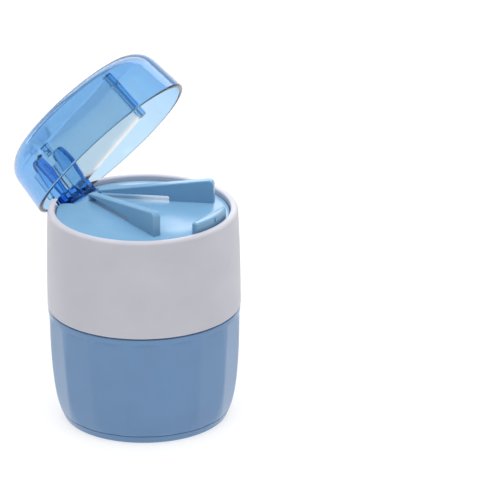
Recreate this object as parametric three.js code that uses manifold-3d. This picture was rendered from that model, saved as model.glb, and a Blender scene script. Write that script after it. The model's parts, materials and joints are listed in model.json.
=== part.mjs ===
// Screw-type pill crusher with a blade cutter in its hinged lid and a storage well inside.
// Millimetres, +Z up, origin at the middle of the foot. The front, where the catch is, faces -Y.
import * as THREE from 'three';
import { mergeVertices } from 'three/addons/utils/BufferGeometryUtils.js';
import Module from 'manifold-3d';

const wasm = await Module();
wasm.setup();

// ---------- driving dimensions ----------
const GAP = 0.3;                 // air between neighbouring pieces
const ROUND = 48;                // sides of the large round pieces

// cup
const CUP_TOP_Z = 35.4;          // shoulder that the upper shell comes down to
const CUP_TOP_R = 28.95;
const FACETS = 16;
const FACET_TOP_Z = 33.6;        // where the flat facets begin to run out below the shoulder
const FACET_END_Z = 34.4;
const FOOT_SEAM_Z = 2.6;         // line between the base cap and the cup
const FOOT_R = 23.9;
const CUP_WALL = 1.55;
const SHOULDER_THICK = 1.8;
const BORE_R = 22.1;
const BORE_FLOOR_Z = 6.0;
const NECK_R = 23.7;
const NECK_TOP_Z = 49.0;

// screw thread, right-handed
const PITCH = 4.4;
const RIDGE_HEIGHT = 1.0;
const RIDGE_WIDTH = 1.7;
const MALE_START_Z = 38.2;
const MALE_TURNS = 2;
const FEMALE_TURNS = 1;
const SLEEVE_IN_R = 25.1;
const SLEEVE_OUT_R = 26.6;
const SLEEVE_BOTTOM_Z = 36.3;
const WEB_BOTTOM_Z = 50.0;
const WEB_THICK = 1.8;

// press plate and its opposite disc on the cup floor
const ANVIL_R = 21.7;
const ANVIL_THICK = 1.0;
const CRUSH_GAP = 0.6;
const PLATE_R = 21.6;
const PLATE_THICK = 1.0;
const PLATE_RIM_Z = 3.2;         // height of the plate's turned-up rim
const PLATE_RIM_THICK = 0.5;

// plunger with the storage well
const PLUNGER_R = 21.5;
const PLUNGER_NOSE_R = 20.6;
const WELL_R = 19.9;
const WELL_FLOOR_THICK = 1.8;
const FLANGE_BOTTOM_Z = 56.2;
const FLANGE_THICK = 1.8;

// upper shell
const SHELL_BOTTOM_Z = 35.7;
const SHELL_IN_R = 26.95;
const LIP_IN_R = 26.3;           // the ring round the deck is thicker than the wall below it
const LIP_BOTTOM_Z = 58.6;
const RING_TOP_Z = 66.4;
const RING_CREST_R = 1.2;

// deck with the V-shaped pill holder
const DECK_TOP_Z = 66.0;
const DECK_R = 26.0;
const DECK_THICK = 1.8;
const ROLL_START_R = 19.5;       // from here the deck's top rolls off towards its edge
const ROLL_R = 17.4;
const SKIRT_THICK = 1.2;
const PLUG_R = 19.6;
const PLUG_WALL = 1.4;
const PLUG_BOTTOM_Z = 56.6;
const V_HALF_ANGLE = THREE.MathUtils.degToRad(23.2);
const V_MID_HALF_WIDTH = 7.7;    // centre line to a wall's inner face, on the cup's axis
const V_WALL_THICK = 2.6;
const V_REAR_Y = 16.7;            // rear end of a wall's inner face
const V_FRONT_Y = -15.9;
const V_REAR_HEIGHT = 2.3;
const V_FRONT_HEIGHT = 7.4;
const V_CORNER_R = 1.6;
const V_SLIT_HEIGHT = 1.5;
const V_SLIT_REAR_Y = 15.8;
const V_SLIT_FRONT_Y = -3.4;
const BLADE_LANE_HALF_WIDTH = 0.9;
const V_SUNK = 0.9;              // how far the walls reach down into the deck
const CATCH_HALF_WIDTH = 8.1;
const CATCH_INNER_Y = -22.6;
const CATCH_HEIGHT = 2.9;
const CATCH_SUNK = 1.5;
const CATCH_INSET = 0.3;         // from the deck's edge in to the catch's outer face

// hinge
const HINGE_Y = 22.5;
const HINGE_Z = 63.35;
const OPEN_ANGLE = THREE.MathUtils.degToRad(50.6);
const PIN_R = 1.0;
const PIN_HALF_LENGTH = 9.4;
const PIN_HOLE_R = 1.18;
const BARREL_R = 3.1;
const ARM_INNER_X = 4.5;
const ARM_OUTER_X = 6.7;
const SLOT_HALF_WIDTH = 7.15;
const SLOT_FRONT_Y = 19.2;
const ARM_TOP = 14.3;            // up from the rim plane
const WEB_X = 5.6;               // middle of the thin web behind each arm
const WEB_HALF_THICK = 0.5;
const CHEEK_OUTER_X = 9.75;
const POCKET_BOTTOM_Z = 58.6;
const POCKET_FLOOR_Z = 59.8;

// lid, described closed, with its rim in the plane z = LID_RIM_Z
const LID_RIM_Z = 66.6;
const LID_RIM_R = 28.34;
const LID_TAPER = THREE.MathUtils.degToRad(5.6);
const LID_HEIGHT = 17.85;
const LID_CROWN_R = 7.4;
const LID_WALL = 1.4;
const SWING_CLEARANCE = 0.45;

// blade and what holds it in the lid; heights are measured up from the rim plane
const BLADE_THICK = 0.5;
const BLADE_FRONT_Y = -16.9;
const BLADE_REAR_Y = 23.2;
const BLADE_EDGE_DROP = 0.45;
const BLADE_TOP = 15.9;
const BLADE_CORNER_R = 4.0;
const BEVEL_HEIGHT = 1.9;
const POST_HALF_WIDTH = 1.1;
const POST_DEPTH = 2.4;
const POST_FRONT_Y = -18.2;
const POST_REAR_Y = 24.9;
const LUG_FRONT_Y = 17.5;        // the lug under the lid's top that holds the rear pin
const LUG_REAR_Y = 20.0;
const LUG_BOTTOM = 13.1;
const SLOT_HALF_THICK = 0.55;
const SLOT_BOTTOM = -2;
const BLADE_PIN_R = 0.45;
const BLADE_PIN_HOLE_R = 0.6;
const BLADE_PINS = [
  { name: 'blade_pin_front', y: -16.5, up: 12.0 },
  { name: 'blade_pin_rear', y: 18.75, up: 14.4 },
];

// ---------- helpers ----------
function solid(geometry) {
  const bare = geometry.index ? geometry.clone() : geometry;
  bare.deleteAttribute('normal');
  bare.deleteAttribute('uv');
  const merged = mergeVertices(bare, 1e-4);
  const mesh = new wasm.Mesh({
    numProp: 3,
    vertProperties: Float32Array.from(merged.attributes.position.array),
    triVerts: Uint32Array.from(merged.index.array),
  });
  return new wasm.Manifold(mesh);
}

function geometryOf(body) {
  const mesh = body.getMesh();
  const geometry = new THREE.BufferGeometry();
  geometry.setAttribute('position', new THREE.BufferAttribute(mesh.vertProperties, 3));
  geometry.setIndex(new THREE.BufferAttribute(mesh.triVerts, 1));
  geometry.computeVertexNormals();
  return geometry;
}

// a [radius, height] outline turned round +Z: it starts at the bottom and goes outward first, and
// either starts and ends on the axis or returns to its first point
function turned(outline, sides = ROUND) {
  const points = outline.map(([r, z]) => new THREE.Vector2(r, z));
  const geometry = new THREE.LatheGeometry(points, sides);
  geometry.rotateX(Math.PI / 2);
  return solid(geometry);
}

function box(x0, x1, y0, y1, z0, z1) {
  const geometry = new THREE.BoxGeometry(x1 - x0, y1 - y0, z1 - z0);
  geometry.translate((x0 + x1) / 2, (y0 + y1) / 2, (z0 + z1) / 2);
  return solid(geometry);
}

// a cylinder along X
function rodAcross(radius, halfLength, y, z, sides = 24) {
  const geometry = new THREE.CylinderGeometry(radius, radius, 2 * halfLength, sides);
  geometry.rotateZ(Math.PI / 2);
  geometry.translate(0, y, z);
  return solid(geometry);
}

// a side view in the YZ plane, given a thickness from x0 to x1
function sideExtrusion(shape, x0, x1) {
  const geometry = new THREE.ExtrudeGeometry(shape, {
    depth: x1 - x0, bevelEnabled: false, curveSegments: 6,
  });
  geometry.applyMatrix4(new THREE.Matrix4().set(
    0, 0, 1, x0,
    1, 0, 0, 0,
    0, 1, 0, 0,
    0, 0, 0, 1,
  ));
  return solid(geometry);
}

function arcPoints(centreR, centreZ, radius, fromDeg, toDeg, steps) {
  const points = [];
  for (let i = 0; i <= steps; i += 1) {
    const angle = THREE.MathUtils.degToRad(fromDeg + ((toDeg - fromDeg) * i) / steps);
    points.push([centreR + radius * Math.cos(angle), centreZ + radius * Math.sin(angle)]);
  }
  return points;
}

function curvePoints(p0, p1, p2, p3, steps) {
  const curve = new THREE.CubicBezierCurve(
    new THREE.Vector2(...p0), new THREE.Vector2(...p1),
    new THREE.Vector2(...p2), new THREE.Vector2(...p3),
  );
  return curve.getPoints(steps).map((p) => [p.x, p.y]);
}

// turns a geometry's faces over, after a mapping that mirrors it
function flipFaces(geometry) {
  if (!geometry.index) {
    geometry.setIndex([...Array(geometry.attributes.position.count).keys()]);
  }
  const index = geometry.index.array;
  for (let i = 0; i < index.length; i += 3) {
    const first = index[i];
    index[i] = index[i + 2];
    index[i + 2] = first;
  }
}

// a rounded screw ridge: a straight bar bent into a helix, running out to nothing at both ends
function screwRidge(rootR, outward, startZ, turns) {
  const stepsPerTurn = 32;
  const steps = Math.round(stepsPerTurn * turns);
  const embed = 0.4;
  const geometry = new THREE.BoxGeometry(1, 1, 1, steps, 2, 1);
  const position = geometry.attributes.position;
  const runOut = 0.12;
  for (let i = 0; i < position.count; i += 1) {
    const along = position.getX(i) + 0.5;
    const height = position.getY(i) + 0.5;
    const side = position.getZ(i) * 2;
    const ends = Math.min(1, along / (runOut / turns), (1 - along) / (runOut / turns));
    const crest = RIDGE_HEIGHT * (0.15 + 0.85 * ends);
    const radial = -embed + (crest + embed) * height;
    const halfWidth = (RIDGE_WIDTH / 2) * (1 - 0.55 * height * height);
    const angle = 2 * Math.PI * turns * along;
    const r = rootR + outward * radial;
    const z = startZ + PITCH * turns * along + side * halfWidth;
    position.setXYZ(i, r * Math.cos(angle), r * Math.sin(angle), z);
  }
  if (outward > 0) {
    flipFaces(geometry);
  }
  return solid(geometry);
}

// the lid's parts are modelled closed and swung open about the hinge
const swing = new THREE.Matrix4()
  .makeTranslation(0, HINGE_Y, HINGE_Z)
  .multiply(new THREE.Matrix4().makeRotationX(-OPEN_ANGLE))
  .multiply(new THREE.Matrix4().makeTranslation(0, -HINGE_Y, -HINGE_Z));

const materials = {
  bluePlastic: new THREE.MeshStandardMaterial({ color: 0x6d93bd, roughness: 0.35, metalness: 0 }),
  whitePlastic: new THREE.MeshStandardMaterial({ color: 0xe6e6ee, roughness: 0.45, metalness: 0 }),
  clearBlue: new THREE.MeshStandardMaterial({
    color: 0x5aa0e0, roughness: 0.08, metalness: 0, transparent: true, opacity: 0.45,
  }),
  steel: new THREE.MeshStandardMaterial({ color: 0xc9ccd0, roughness: 0.25, metalness: 1 }),
};

const crusher = new THREE.Group();

function addPiece(name, body, material, open = false) {
  const geometry = geometryOf(body);
  if (open) {
    geometry.applyMatrix4(swing);
  }
  const mesh = new THREE.Mesh(geometry, material);
  mesh.name = name;
  crusher.add(mesh);
}

// ---------- cup ----------
// the cup's wall has sixteen flat facets, which run out in arches below the shoulder
function facetedSleeve() {
  const widen = 1 / Math.cos(Math.PI / FACETS);
  const flats = curvePoints([25.5, FOOT_SEAM_Z], [27.9, 9], [28.6, 25], [28.8, FACET_TOP_Z], 7);
  const outline = [
    [0, 0],
    [25.5, 0],
    ...flats,
    [CUP_TOP_R + 0.2, FACET_END_Z],
    [CUP_TOP_R + 0.2, NECK_TOP_Z + 1],
    [0, NECK_TOP_Z + 1],
  ];
  return turned(outline.map(([r, z]) => [r * widen, z]), FACETS);
}

function cupBody() {
  const bottom = FOOT_SEAM_Z + GAP;
  const outside = curvePoints([25.85, bottom], [28.4, 10], [28.95, 22], [CUP_TOP_R, CUP_TOP_Z - 0.4], 7);
  const underShoulder = CUP_TOP_Z - SHOULDER_THICK;
  const round = turned([
    [0, BORE_FLOOR_Z - CUP_WALL],
    [NECK_R, BORE_FLOOR_Z - CUP_WALL],
    [NECK_R, underShoulder],
    [CUP_TOP_R - CUP_WALL, underShoulder],
    [CUP_TOP_R - CUP_WALL - 0.6, 20],
    [NECK_R + 1.6, 8],
    [NECK_R + 0.35, bottom],
    ...outside,
    [CUP_TOP_R - 0.4, CUP_TOP_Z],
    [NECK_R, CUP_TOP_Z],
    [NECK_R, NECK_TOP_Z - 0.6],
    [NECK_R - 0.5, NECK_TOP_Z],
    [BORE_R + 0.4, NECK_TOP_Z],
    [BORE_R, NECK_TOP_Z - 0.4],
    [BORE_R, BORE_FLOOR_Z],
    [0, BORE_FLOOR_Z],
  ]);
  const thread = screwRidge(NECK_R, 1, MALE_START_Z, MALE_TURNS);
  return round.intersect(facetedSleeve()).add(thread);
}

function baseCap() {
  return turned([
    [0, 0],
    [FOOT_R, 0],
    ...arcPoints(FOOT_R, 1.4, 1.4, -60, -10, 2),
    [25.5, FOOT_SEAM_Z],
    [BORE_R, FOOT_SEAM_Z],
    [BORE_R, BORE_FLOOR_Z - CUP_WALL - GAP],
    [0, BORE_FLOOR_Z - CUP_WALL - GAP],
  ]);
}

function anvilDisc() {
  const bottom = BORE_FLOOR_Z + 0.1;
  const top = bottom + ANVIL_THICK;
  return turned([[0, bottom], [ANVIL_R, bottom], [ANVIL_R, top], [0, top]]);
}

// ---------- press plate, snapped over the end of the plunger so that it can swivel ----------
const PLATE_BOTTOM_Z = BORE_FLOOR_Z + 0.1 + ANVIL_THICK + CRUSH_GAP;
const NOSE_BOTTOM_Z = PLATE_BOTTOM_Z + PLATE_THICK + GAP;

function pressPlate() {
  const bottom = PLATE_BOTTOM_Z;
  const rimTop = bottom + PLATE_RIM_Z;
  const rimInner = PLATE_R - PLATE_RIM_THICK;
  return turned([
    [0, bottom],
    [PLATE_R - 0.3, bottom],
    [PLATE_R, bottom + 0.3],
    [PLATE_R, rimTop],
    [PLUNGER_NOSE_R + 0.1, rimTop],
    [PLUNGER_NOSE_R + 0.1, rimTop - 0.5],
    [rimInner, rimTop - 0.5],
    [rimInner, bottom + PLATE_THICK],
    [0, bottom + PLATE_THICK],
  ]);
}

// ---------- threaded collar, plunger and storage well in one moulding ----------
function pressBody() {
  const bead = PLUNGER_NOSE_R + 0.3;
  const groove = PLUNGER_NOSE_R - 0.25;
  const round = turned([
    [0, NOSE_BOTTOM_Z],
    [bead, NOSE_BOTTOM_Z],
    [bead, NOSE_BOTTOM_Z + 1.0],
    [groove, NOSE_BOTTOM_Z + 1.15],
    [groove, NOSE_BOTTOM_Z + 2.2],
    [PLUNGER_R, NOSE_BOTTOM_Z + 2.2],
    [PLUNGER_R, WEB_BOTTOM_Z],
    [SLEEVE_IN_R, WEB_BOTTOM_Z],
    [SLEEVE_IN_R, SLEEVE_BOTTOM_Z],
    [SLEEVE_OUT_R, SLEEVE_BOTTOM_Z],
    [SLEEVE_OUT_R, WEB_BOTTOM_Z + WEB_THICK],
    [PLUNGER_R, WEB_BOTTOM_Z + WEB_THICK],
    [PLUNGER_R, FLANGE_BOTTOM_Z],
    [SLEEVE_OUT_R, FLANGE_BOTTOM_Z],
    [SLEEVE_OUT_R, FLANGE_BOTTOM_Z + FLANGE_THICK],
    [WELL_R, FLANGE_BOTTOM_Z + FLANGE_THICK],
    [WELL_R, NOSE_BOTTOM_Z + WELL_FLOOR_THICK],
    [0, NOSE_BOTTOM_Z + WELL_FLOOR_THICK],
  ]);
  const thread = screwRidge(SLEEVE_IN_R, -1, MALE_START_Z + PITCH / 2, FEMALE_TURNS);
  return round.add(thread);
}

// ---------- upper shell ----------
// the lid's rim sweeps a barrel about the hinge as it opens, and the shell is cut back from it
function swingRelief() {
  const halfWidth = 16.5;
  const rimInner = LID_RIM_R - LID_WALL;
  const rimUp = LID_RIM_Z - HINGE_Z;
  const outline = [];
  for (let i = -6; i <= 6; i += 1) {
    const x = (halfWidth * i) / 6;
    const behind = Math.max(0, Math.sqrt(rimInner ** 2 - x ** 2) - HINGE_Y);
    outline.push([Math.hypot(behind, rimUp) - SWING_CLEARANCE, x]);
  }
  const barrelPoints = [[12, -halfWidth], [12, halfWidth], ...outline.reverse(), [12, -halfWidth]];
  const barrel = new THREE.LatheGeometry(barrelPoints.map(([r, x]) => new THREE.Vector2(r, x)), 40);
  barrel.rotateZ(-Math.PI / 2);
  barrel.translate(0, HINGE_Y, HINGE_Z);
  const above = new THREE.BoxGeometry(40, 60, 40);
  above.translate(0, 20, LID_RIM_Z - SWING_CLEARANCE + 20);
  above.applyMatrix4(swing);
  return solid(barrel).intersect(solid(above));
}

function upperShell() {
  const bottom = SHELL_BOTTOM_Z;
  const crestZ = RING_TOP_Z - RING_CREST_R;
  const side = curvePoints([29.08, bottom + 0.3], [29.14, 44], [28.95, 58], [28.55, crestZ], 6);
  const tube = turned([
    [SHELL_IN_R, bottom],
    [28.85, bottom],
    ...side,
    ...arcPoints(28.55 - RING_CREST_R, crestZ, RING_CREST_R, 25, 90, 3),
    [LIP_IN_R + 0.3, RING_TOP_Z],
    [LIP_IN_R, RING_TOP_Z - 0.3],
    [LIP_IN_R, LIP_BOTTOM_Z],
    [SHELL_IN_R, LIP_BOTTOM_Z],
    [SHELL_IN_R, bottom],
  ]);
  const hingeWindow = box(-SLOT_HALF_WIDTH - GAP, SLOT_HALF_WIDTH + GAP, 19, 32, 60.9, 70);
  return tube.subtract(swingRelief()).subtract(hingeWindow);
}

// ---------- deck: cutter table, V-shaped pill holder, catch and hinge housing ----------
function holderWall(side) {
  const along = (y) => (V_REAR_Y - y) / Math.cos(V_HALF_ANGLE);
  const length = along(V_FRONT_Y);
  const sunk = -V_SUNK;
  const outline = new THREE.Shape();
  outline.moveTo(0, sunk);
  outline.lineTo(along(V_SLIT_REAR_Y), sunk);
  outline.lineTo(along(V_SLIT_REAR_Y), V_SLIT_HEIGHT);
  outline.lineTo(along(V_SLIT_FRONT_Y), V_SLIT_HEIGHT);
  outline.lineTo(along(V_SLIT_FRONT_Y), sunk);
  outline.lineTo(length, sunk);
  outline.lineTo(length, V_FRONT_HEIGHT - V_CORNER_R);
  outline.absarc(length - V_CORNER_R, V_FRONT_HEIGHT - V_CORNER_R, V_CORNER_R, 0, Math.PI / 2, false);
  outline.lineTo(0, V_REAR_HEIGHT);
  outline.closePath();
  const geometry = new THREE.ExtrudeGeometry(outline, {
    depth: V_WALL_THICK, bevelEnabled: false, curveSegments: 4,
  });
  // the outline's own x runs along the wall to the front, its y up, and its depth away from the lane
  const sin = Math.sin(V_HALF_ANGLE);
  const cos = Math.cos(V_HALF_ANGLE);
  const startX = V_MID_HALF_WIDTH - V_REAR_Y * Math.tan(V_HALF_ANGLE);
  geometry.applyMatrix4(new THREE.Matrix4().set(
    side * sin, 0, side * cos, side * startX,
    -cos, 0, sin, V_REAR_Y,
    0, 1, 0, DECK_TOP_Z,
    0, 0, 0, 1,
  ));
  if (side > 0) {
    flipFaces(geometry);
  }
  return solid(geometry);
}

function catchBlock() {
  const profile = new THREE.Shape();
  profile.moveTo(-DECK_R - 1, -CATCH_SUNK);
  profile.lineTo(CATCH_INNER_Y, -CATCH_SUNK);
  profile.lineTo(CATCH_INNER_Y, CATCH_HEIGHT - 0.7);
  profile.lineTo(CATCH_INNER_Y - 0.8, CATCH_HEIGHT);
  profile.lineTo(-DECK_R - 1, CATCH_HEIGHT);
  profile.closePath();
  const bar = sideExtrusion(profile, -CATCH_HALF_WIDTH, CATCH_HALF_WIDTH).translate([0, 0, DECK_TOP_Z]);
  const top = DECK_TOP_Z + CATCH_HEIGHT;
  const edge = DECK_R - CATCH_INSET;
  const curved = turned([
    [0, DECK_TOP_Z - CATCH_SUNK],
    [edge, DECK_TOP_Z - CATCH_SUNK],
    [edge, top - 0.5],
    [edge - 0.5, top],
    [0, top],
  ]);
  const nick = box(-0.3, 0.3, -edge - 1, -edge + 0.6, DECK_TOP_Z + 0.6, DECK_TOP_Z + 2.3);
  return bar.intersect(curved).subtract(nick);
}

function deck() {
  const under = DECK_TOP_Z - DECK_THICK;
  const skirtIn = DECK_R - SKIRT_THICK;
  const skirtBottom = FLANGE_BOTTOM_Z + FLANGE_THICK + GAP;
  const edgeAngle = THREE.MathUtils.radToDeg(Math.acos((DECK_R - ROLL_START_R) / ROLL_R));
  const table = turned([
    [0, under],
    [PLUG_R - PLUG_WALL, under],
    [PLUG_R - PLUG_WALL, PLUG_BOTTOM_Z],
    [PLUG_R, PLUG_BOTTOM_Z],
    [PLUG_R, under],
    [skirtIn, under],
    [skirtIn, skirtBottom],
    [DECK_R, skirtBottom],
    ...arcPoints(ROLL_START_R, DECK_TOP_Z - ROLL_R, ROLL_R, edgeAngle, 90, 4),
    [0, DECK_TOP_Z],
  ]);
  const inRing = turned([
    [0, POCKET_BOTTOM_Z],
    [DECK_R, POCKET_BOTTOM_Z],
    [DECK_R, under + 0.5],
    [0, under + 0.5],
  ]);
  const housing = box(
    -CHEEK_OUTER_X, CHEEK_OUTER_X, SLOT_FRONT_Y - 1.6, DECK_R + 1, POCKET_BOTTOM_Z, under + 0.5,
  ).intersect(inRing);
  const slot = box(
    -SLOT_HALF_WIDTH, SLOT_HALF_WIDTH, SLOT_FRONT_Y, DECK_R + 2, POCKET_FLOOR_Z, DECK_TOP_Z + 1,
  );
  const pinHole = rodAcross(PIN_HOLE_R, CHEEK_OUTER_X + 1, HINGE_Y, HINGE_Z, 16);
  const lane = box(
    -BLADE_LANE_HALF_WIDTH, BLADE_LANE_HALF_WIDTH, 0, V_REAR_Y + 3, DECK_TOP_Z, DECK_TOP_Z + V_FRONT_HEIGHT,
  );
  return table
    .add(housing)
    .add(holderWall(1))
    .add(holderWall(-1))
    .add(catchBlock())
    .subtract(slot)
    .subtract(pinHole)
    .subtract(lane);
}

function hingePin() {
  return rodAcross(PIN_R, PIN_HALF_LENGTH, HINGE_Y, HINGE_Z, 16);
}

// ---------- lid with its hinge arms and blade channels, described closed ----------
function lidOutline() {
  const crownCentreUp = LID_HEIGHT - LID_CROWN_R;
  const wallAtCrown = LID_RIM_R - crownCentreUp * Math.tan(LID_TAPER);
  const crownCentreR = wallAtCrown - LID_CROWN_R / Math.cos(LID_TAPER);
  const taperDeg = THREE.MathUtils.radToDeg(LID_TAPER);
  const crownAt = (radius) => arcPoints(crownCentreR, crownCentreUp, radius, taperDeg, 90, 5);
  return { outer: crownAt(LID_CROWN_R), inner: crownAt(LID_CROWN_R - LID_WALL) };
}

function lift(outline) {
  return outline.map(([r, up]) => [r, LID_RIM_Z + up]);
}

function lidShell() {
  const { outer, inner } = lidOutline();
  return turned(lift([
    [0, LID_HEIGHT - LID_WALL],
    ...inner.reverse(),
    [LID_RIM_R - LID_WALL, 0],
    [LID_RIM_R, 0],
    ...outer,
    [0, LID_HEIGHT],
  ]));
}

// everything inside the lid ends at this envelope, halfway through the lid's wall
function lidEnvelope() {
  const { outer } = lidOutline();
  return turned(lift([
    [0, -10],
    [LID_RIM_R - 0.7, -10],
    ...outer.map(([r, up]) => [r - 0.7, up - 0.7]),
    [0, LID_HEIGHT - 0.7],
  ]));
}

// an arm stands free inside the wall, with a rounded top and a thin web that ties it to the wall
function hingeArm(side) {
  const outline = new THREE.Shape();
  const topR = 1.9;
  const topY = 20.35;
  const topZ = LID_RIM_Z + ARM_TOP - topR;
  const up = (y, rise) => [y, LID_RIM_Z + rise];
  outline.moveTo(...up(19.6, -2.8));
  outline.lineTo(...up(25.2, -2.8));
  outline.lineTo(...up(24.4, 0.6));
  outline.lineTo(...up(24.0, 6.2));
  outline.absarc(topY, topZ, topR, 0.15, Math.PI, false);
  outline.lineTo(...up(17.9, 8.8));
  outline.lineTo(...up(18.6, 5.8));
  outline.lineTo(...up(19.6, -0.3));
  outline.closePath();
  const web = box(
    side * WEB_X - WEB_HALF_THICK, side * WEB_X + WEB_HALF_THICK, 21, LID_RIM_R,
    LID_RIM_Z + 3, LID_RIM_Z + 11.5,
  );
  const inner = side * ARM_INNER_X;
  const outer = side * ARM_OUTER_X;
  return sideExtrusion(outline, Math.min(inner, outer), Math.max(inner, outer)).add(web);
}

// the blade's side view, grown by a margin, with its two upper corners rounded
function bladeOutline(margin, bottom) {
  const corner = BLADE_CORNER_R;
  const front = BLADE_FRONT_Y - margin;
  const rear = BLADE_REAR_Y + margin;
  const top = LID_RIM_Z + BLADE_TOP + margin;
  const outline = new THREE.Shape();
  outline.moveTo(front, bottom);
  outline.lineTo(rear, bottom);
  outline.absarc(rear - corner, top - corner, corner, 0, Math.PI / 2, false);
  outline.lineTo(front, top);
  outline.closePath();
  return outline;
}

function lid() {
  const low = LID_RIM_Z - BLADE_EDGE_DROP;
  const top = LID_RIM_Z + LID_HEIGHT;
  const post = (y) => box(-POST_HALF_WIDTH, POST_HALF_WIDTH, y, y + POST_DEPTH, low, top);
  const lug = box(-POST_HALF_WIDTH, POST_HALF_WIDTH, LUG_FRONT_Y, LUG_REAR_Y, LID_RIM_Z + LUG_BOTTOM, top);
  const bridge = box(-ARM_INNER_X - 0.5, ARM_INNER_X + 0.5, 19.9, 24.2, low, LID_RIM_Z + 1.6);
  const barrel = rodAcross(BARREL_R, ARM_OUTER_X, HINGE_Y, HINGE_Z);
  const inside = hingeArm(1)
    .add(hingeArm(-1))
    .add(bridge)
    .add(post(POST_FRONT_Y))
    .add(post(POST_REAR_Y - POST_DEPTH))
    .add(lug)
    .intersect(lidEnvelope());
  const bladeSlot = sideExtrusion(
    bladeOutline(GAP, LID_RIM_Z + SLOT_BOTTOM), -SLOT_HALF_THICK, SLOT_HALF_THICK,
  );
  const pinHole = rodAcross(PIN_HOLE_R, ARM_OUTER_X + 1, HINGE_Y, HINGE_Z, 16);
  const whole = lidShell().add(inside).add(barrel).subtract(bladeSlot).subtract(pinHole);
  return BLADE_PINS.reduce((rest, pin) => rest.subtract(bladePinHole(pin)), whole);
}

// ---------- blade, ground on both sides of its lower edge, and the pins that hold it ----------
function bladePinHole({ y, up }) {
  return rodAcross(BLADE_PIN_HOLE_R, POST_HALF_WIDTH + 1, y, LID_RIM_Z + up, 12);
}

function blade() {
  const half = BLADE_THICK / 2;
  const edge = LID_RIM_Z - BLADE_EDGE_DROP;
  const section = new THREE.Shape();
  section.moveTo(-0.03, edge);
  section.lineTo(0.03, edge);
  section.lineTo(half, edge + BEVEL_HEIGHT);
  section.lineTo(half, LID_RIM_Z + BLADE_TOP);
  section.lineTo(-half, LID_RIM_Z + BLADE_TOP);
  section.lineTo(-half, edge + BEVEL_HEIGHT);
  section.closePath();
  const geometry = new THREE.ExtrudeGeometry(section, {
    depth: BLADE_REAR_Y - BLADE_FRONT_Y, bevelEnabled: false,
  });
  geometry.rotateX(Math.PI / 2);
  geometry.translate(0, BLADE_REAR_Y, 0);
  const whole = solid(geometry).intersect(sideExtrusion(bladeOutline(0, edge - 1), -1, 1));
  return BLADE_PINS.reduce((rest, pin) => rest.subtract(bladePinHole(pin)), whole);
}

function bladePin({ y, up }) {
  return rodAcross(BLADE_PIN_R, POST_HALF_WIDTH, y, LID_RIM_Z + up, 12);
}

addPiece('base_cap', baseCap(), materials.bluePlastic);
addPiece('cup_body', cupBody(), materials.bluePlastic);
addPiece('anvil_disc', anvilDisc(), materials.steel);
addPiece('press_plate', pressPlate(), materials.steel);
addPiece('press_body', pressBody(), materials.bluePlastic);
addPiece('upper_shell', upperShell(), materials.whitePlastic);
addPiece('cutter_deck', deck(), materials.bluePlastic);
addPiece('hinge_pin', hingePin(), materials.bluePlastic);
addPiece('lid', lid(), materials.clearBlue, true);
addPiece('blade', blade(), materials.steel, true);
BLADE_PINS.forEach((pin) => addPiece(pin.name, bladePin(pin), materials.steel, true));

export default crusher;
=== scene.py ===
import json
import math

import bpy
from mathutils import Matrix, Quaternion, Vector


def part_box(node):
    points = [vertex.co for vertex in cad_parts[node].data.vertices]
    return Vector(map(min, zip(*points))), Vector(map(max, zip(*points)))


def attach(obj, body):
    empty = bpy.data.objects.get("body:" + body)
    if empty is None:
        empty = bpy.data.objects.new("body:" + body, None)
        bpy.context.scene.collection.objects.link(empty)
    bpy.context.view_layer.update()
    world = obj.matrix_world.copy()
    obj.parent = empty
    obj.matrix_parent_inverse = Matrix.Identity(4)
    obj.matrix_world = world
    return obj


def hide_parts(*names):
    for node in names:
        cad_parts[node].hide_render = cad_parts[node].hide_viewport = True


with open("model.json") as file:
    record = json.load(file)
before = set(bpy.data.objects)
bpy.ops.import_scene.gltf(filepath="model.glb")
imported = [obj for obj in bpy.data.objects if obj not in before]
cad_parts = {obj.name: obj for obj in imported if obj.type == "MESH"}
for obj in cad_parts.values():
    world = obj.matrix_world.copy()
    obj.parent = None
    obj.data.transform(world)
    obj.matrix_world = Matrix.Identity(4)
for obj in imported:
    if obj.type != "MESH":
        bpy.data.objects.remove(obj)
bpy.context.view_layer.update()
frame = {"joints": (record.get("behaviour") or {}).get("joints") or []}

# Lengths are in millimetres until a mesh is made, and then in metres, as the frame is.
MM = 0.001


def node_box(node):
    """The lowest and highest corners of a CAD node, in millimetres."""
    low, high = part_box(node)
    return low / MM, high / MM


# ---------- places read from the frame ----------
cup_high = node_box("cup_body")[1]
anvil_low, anvil_high = node_box("anvil_disc")
plate_low, plate_high = node_box("press_plate")
press_low, press_high = node_box("press_body")
shell_low, shell_high = node_box("upper_shell")
pin_high = node_box("hinge_pin")[1]
lid_joint = next(joint for joint in frame["joints"] if joint["name"] == "lid_hinge")
hinge = Vector(lid_joint["pos_m"]) / MM
open_angle = math.radians(lid_joint["range_deg"][1])
# The lid is modelled closed, and this turns it open, as it is at rest
swing = (
    Matrix.Translation(hinge)
    @ Matrix.Rotation(-open_angle, 4, "X")
    @ Matrix.Translation(-hinge)
)

# ---------- driving dimensions ----------
GAP = 0.3

# Cup and foot
FACETS = 16
FACET_TOP_R = 28.6              # distance from the axis to a facet at its top
FACET_TOP_Z = 33.55
FACET_END_Z = 34.05             # where the facet's top has run out to the round shoulder
FACET_SOFTNESS = 0.03           # blend between a facet and the round wall
CUP_SIDES = FACETS * 20
CUP_R = cup_high.x
CUP_TOP_Z = 35.4
NECK_R = 23.7
NECK_TOP_Z = cup_high.z
BORE_R = 22.1
BORE_FLOOR_Z = anvil_low.z - 0.1
BORE_FLOOR_THICK = 1.55
FOOT_SEAM_Z = 2.6

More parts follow.
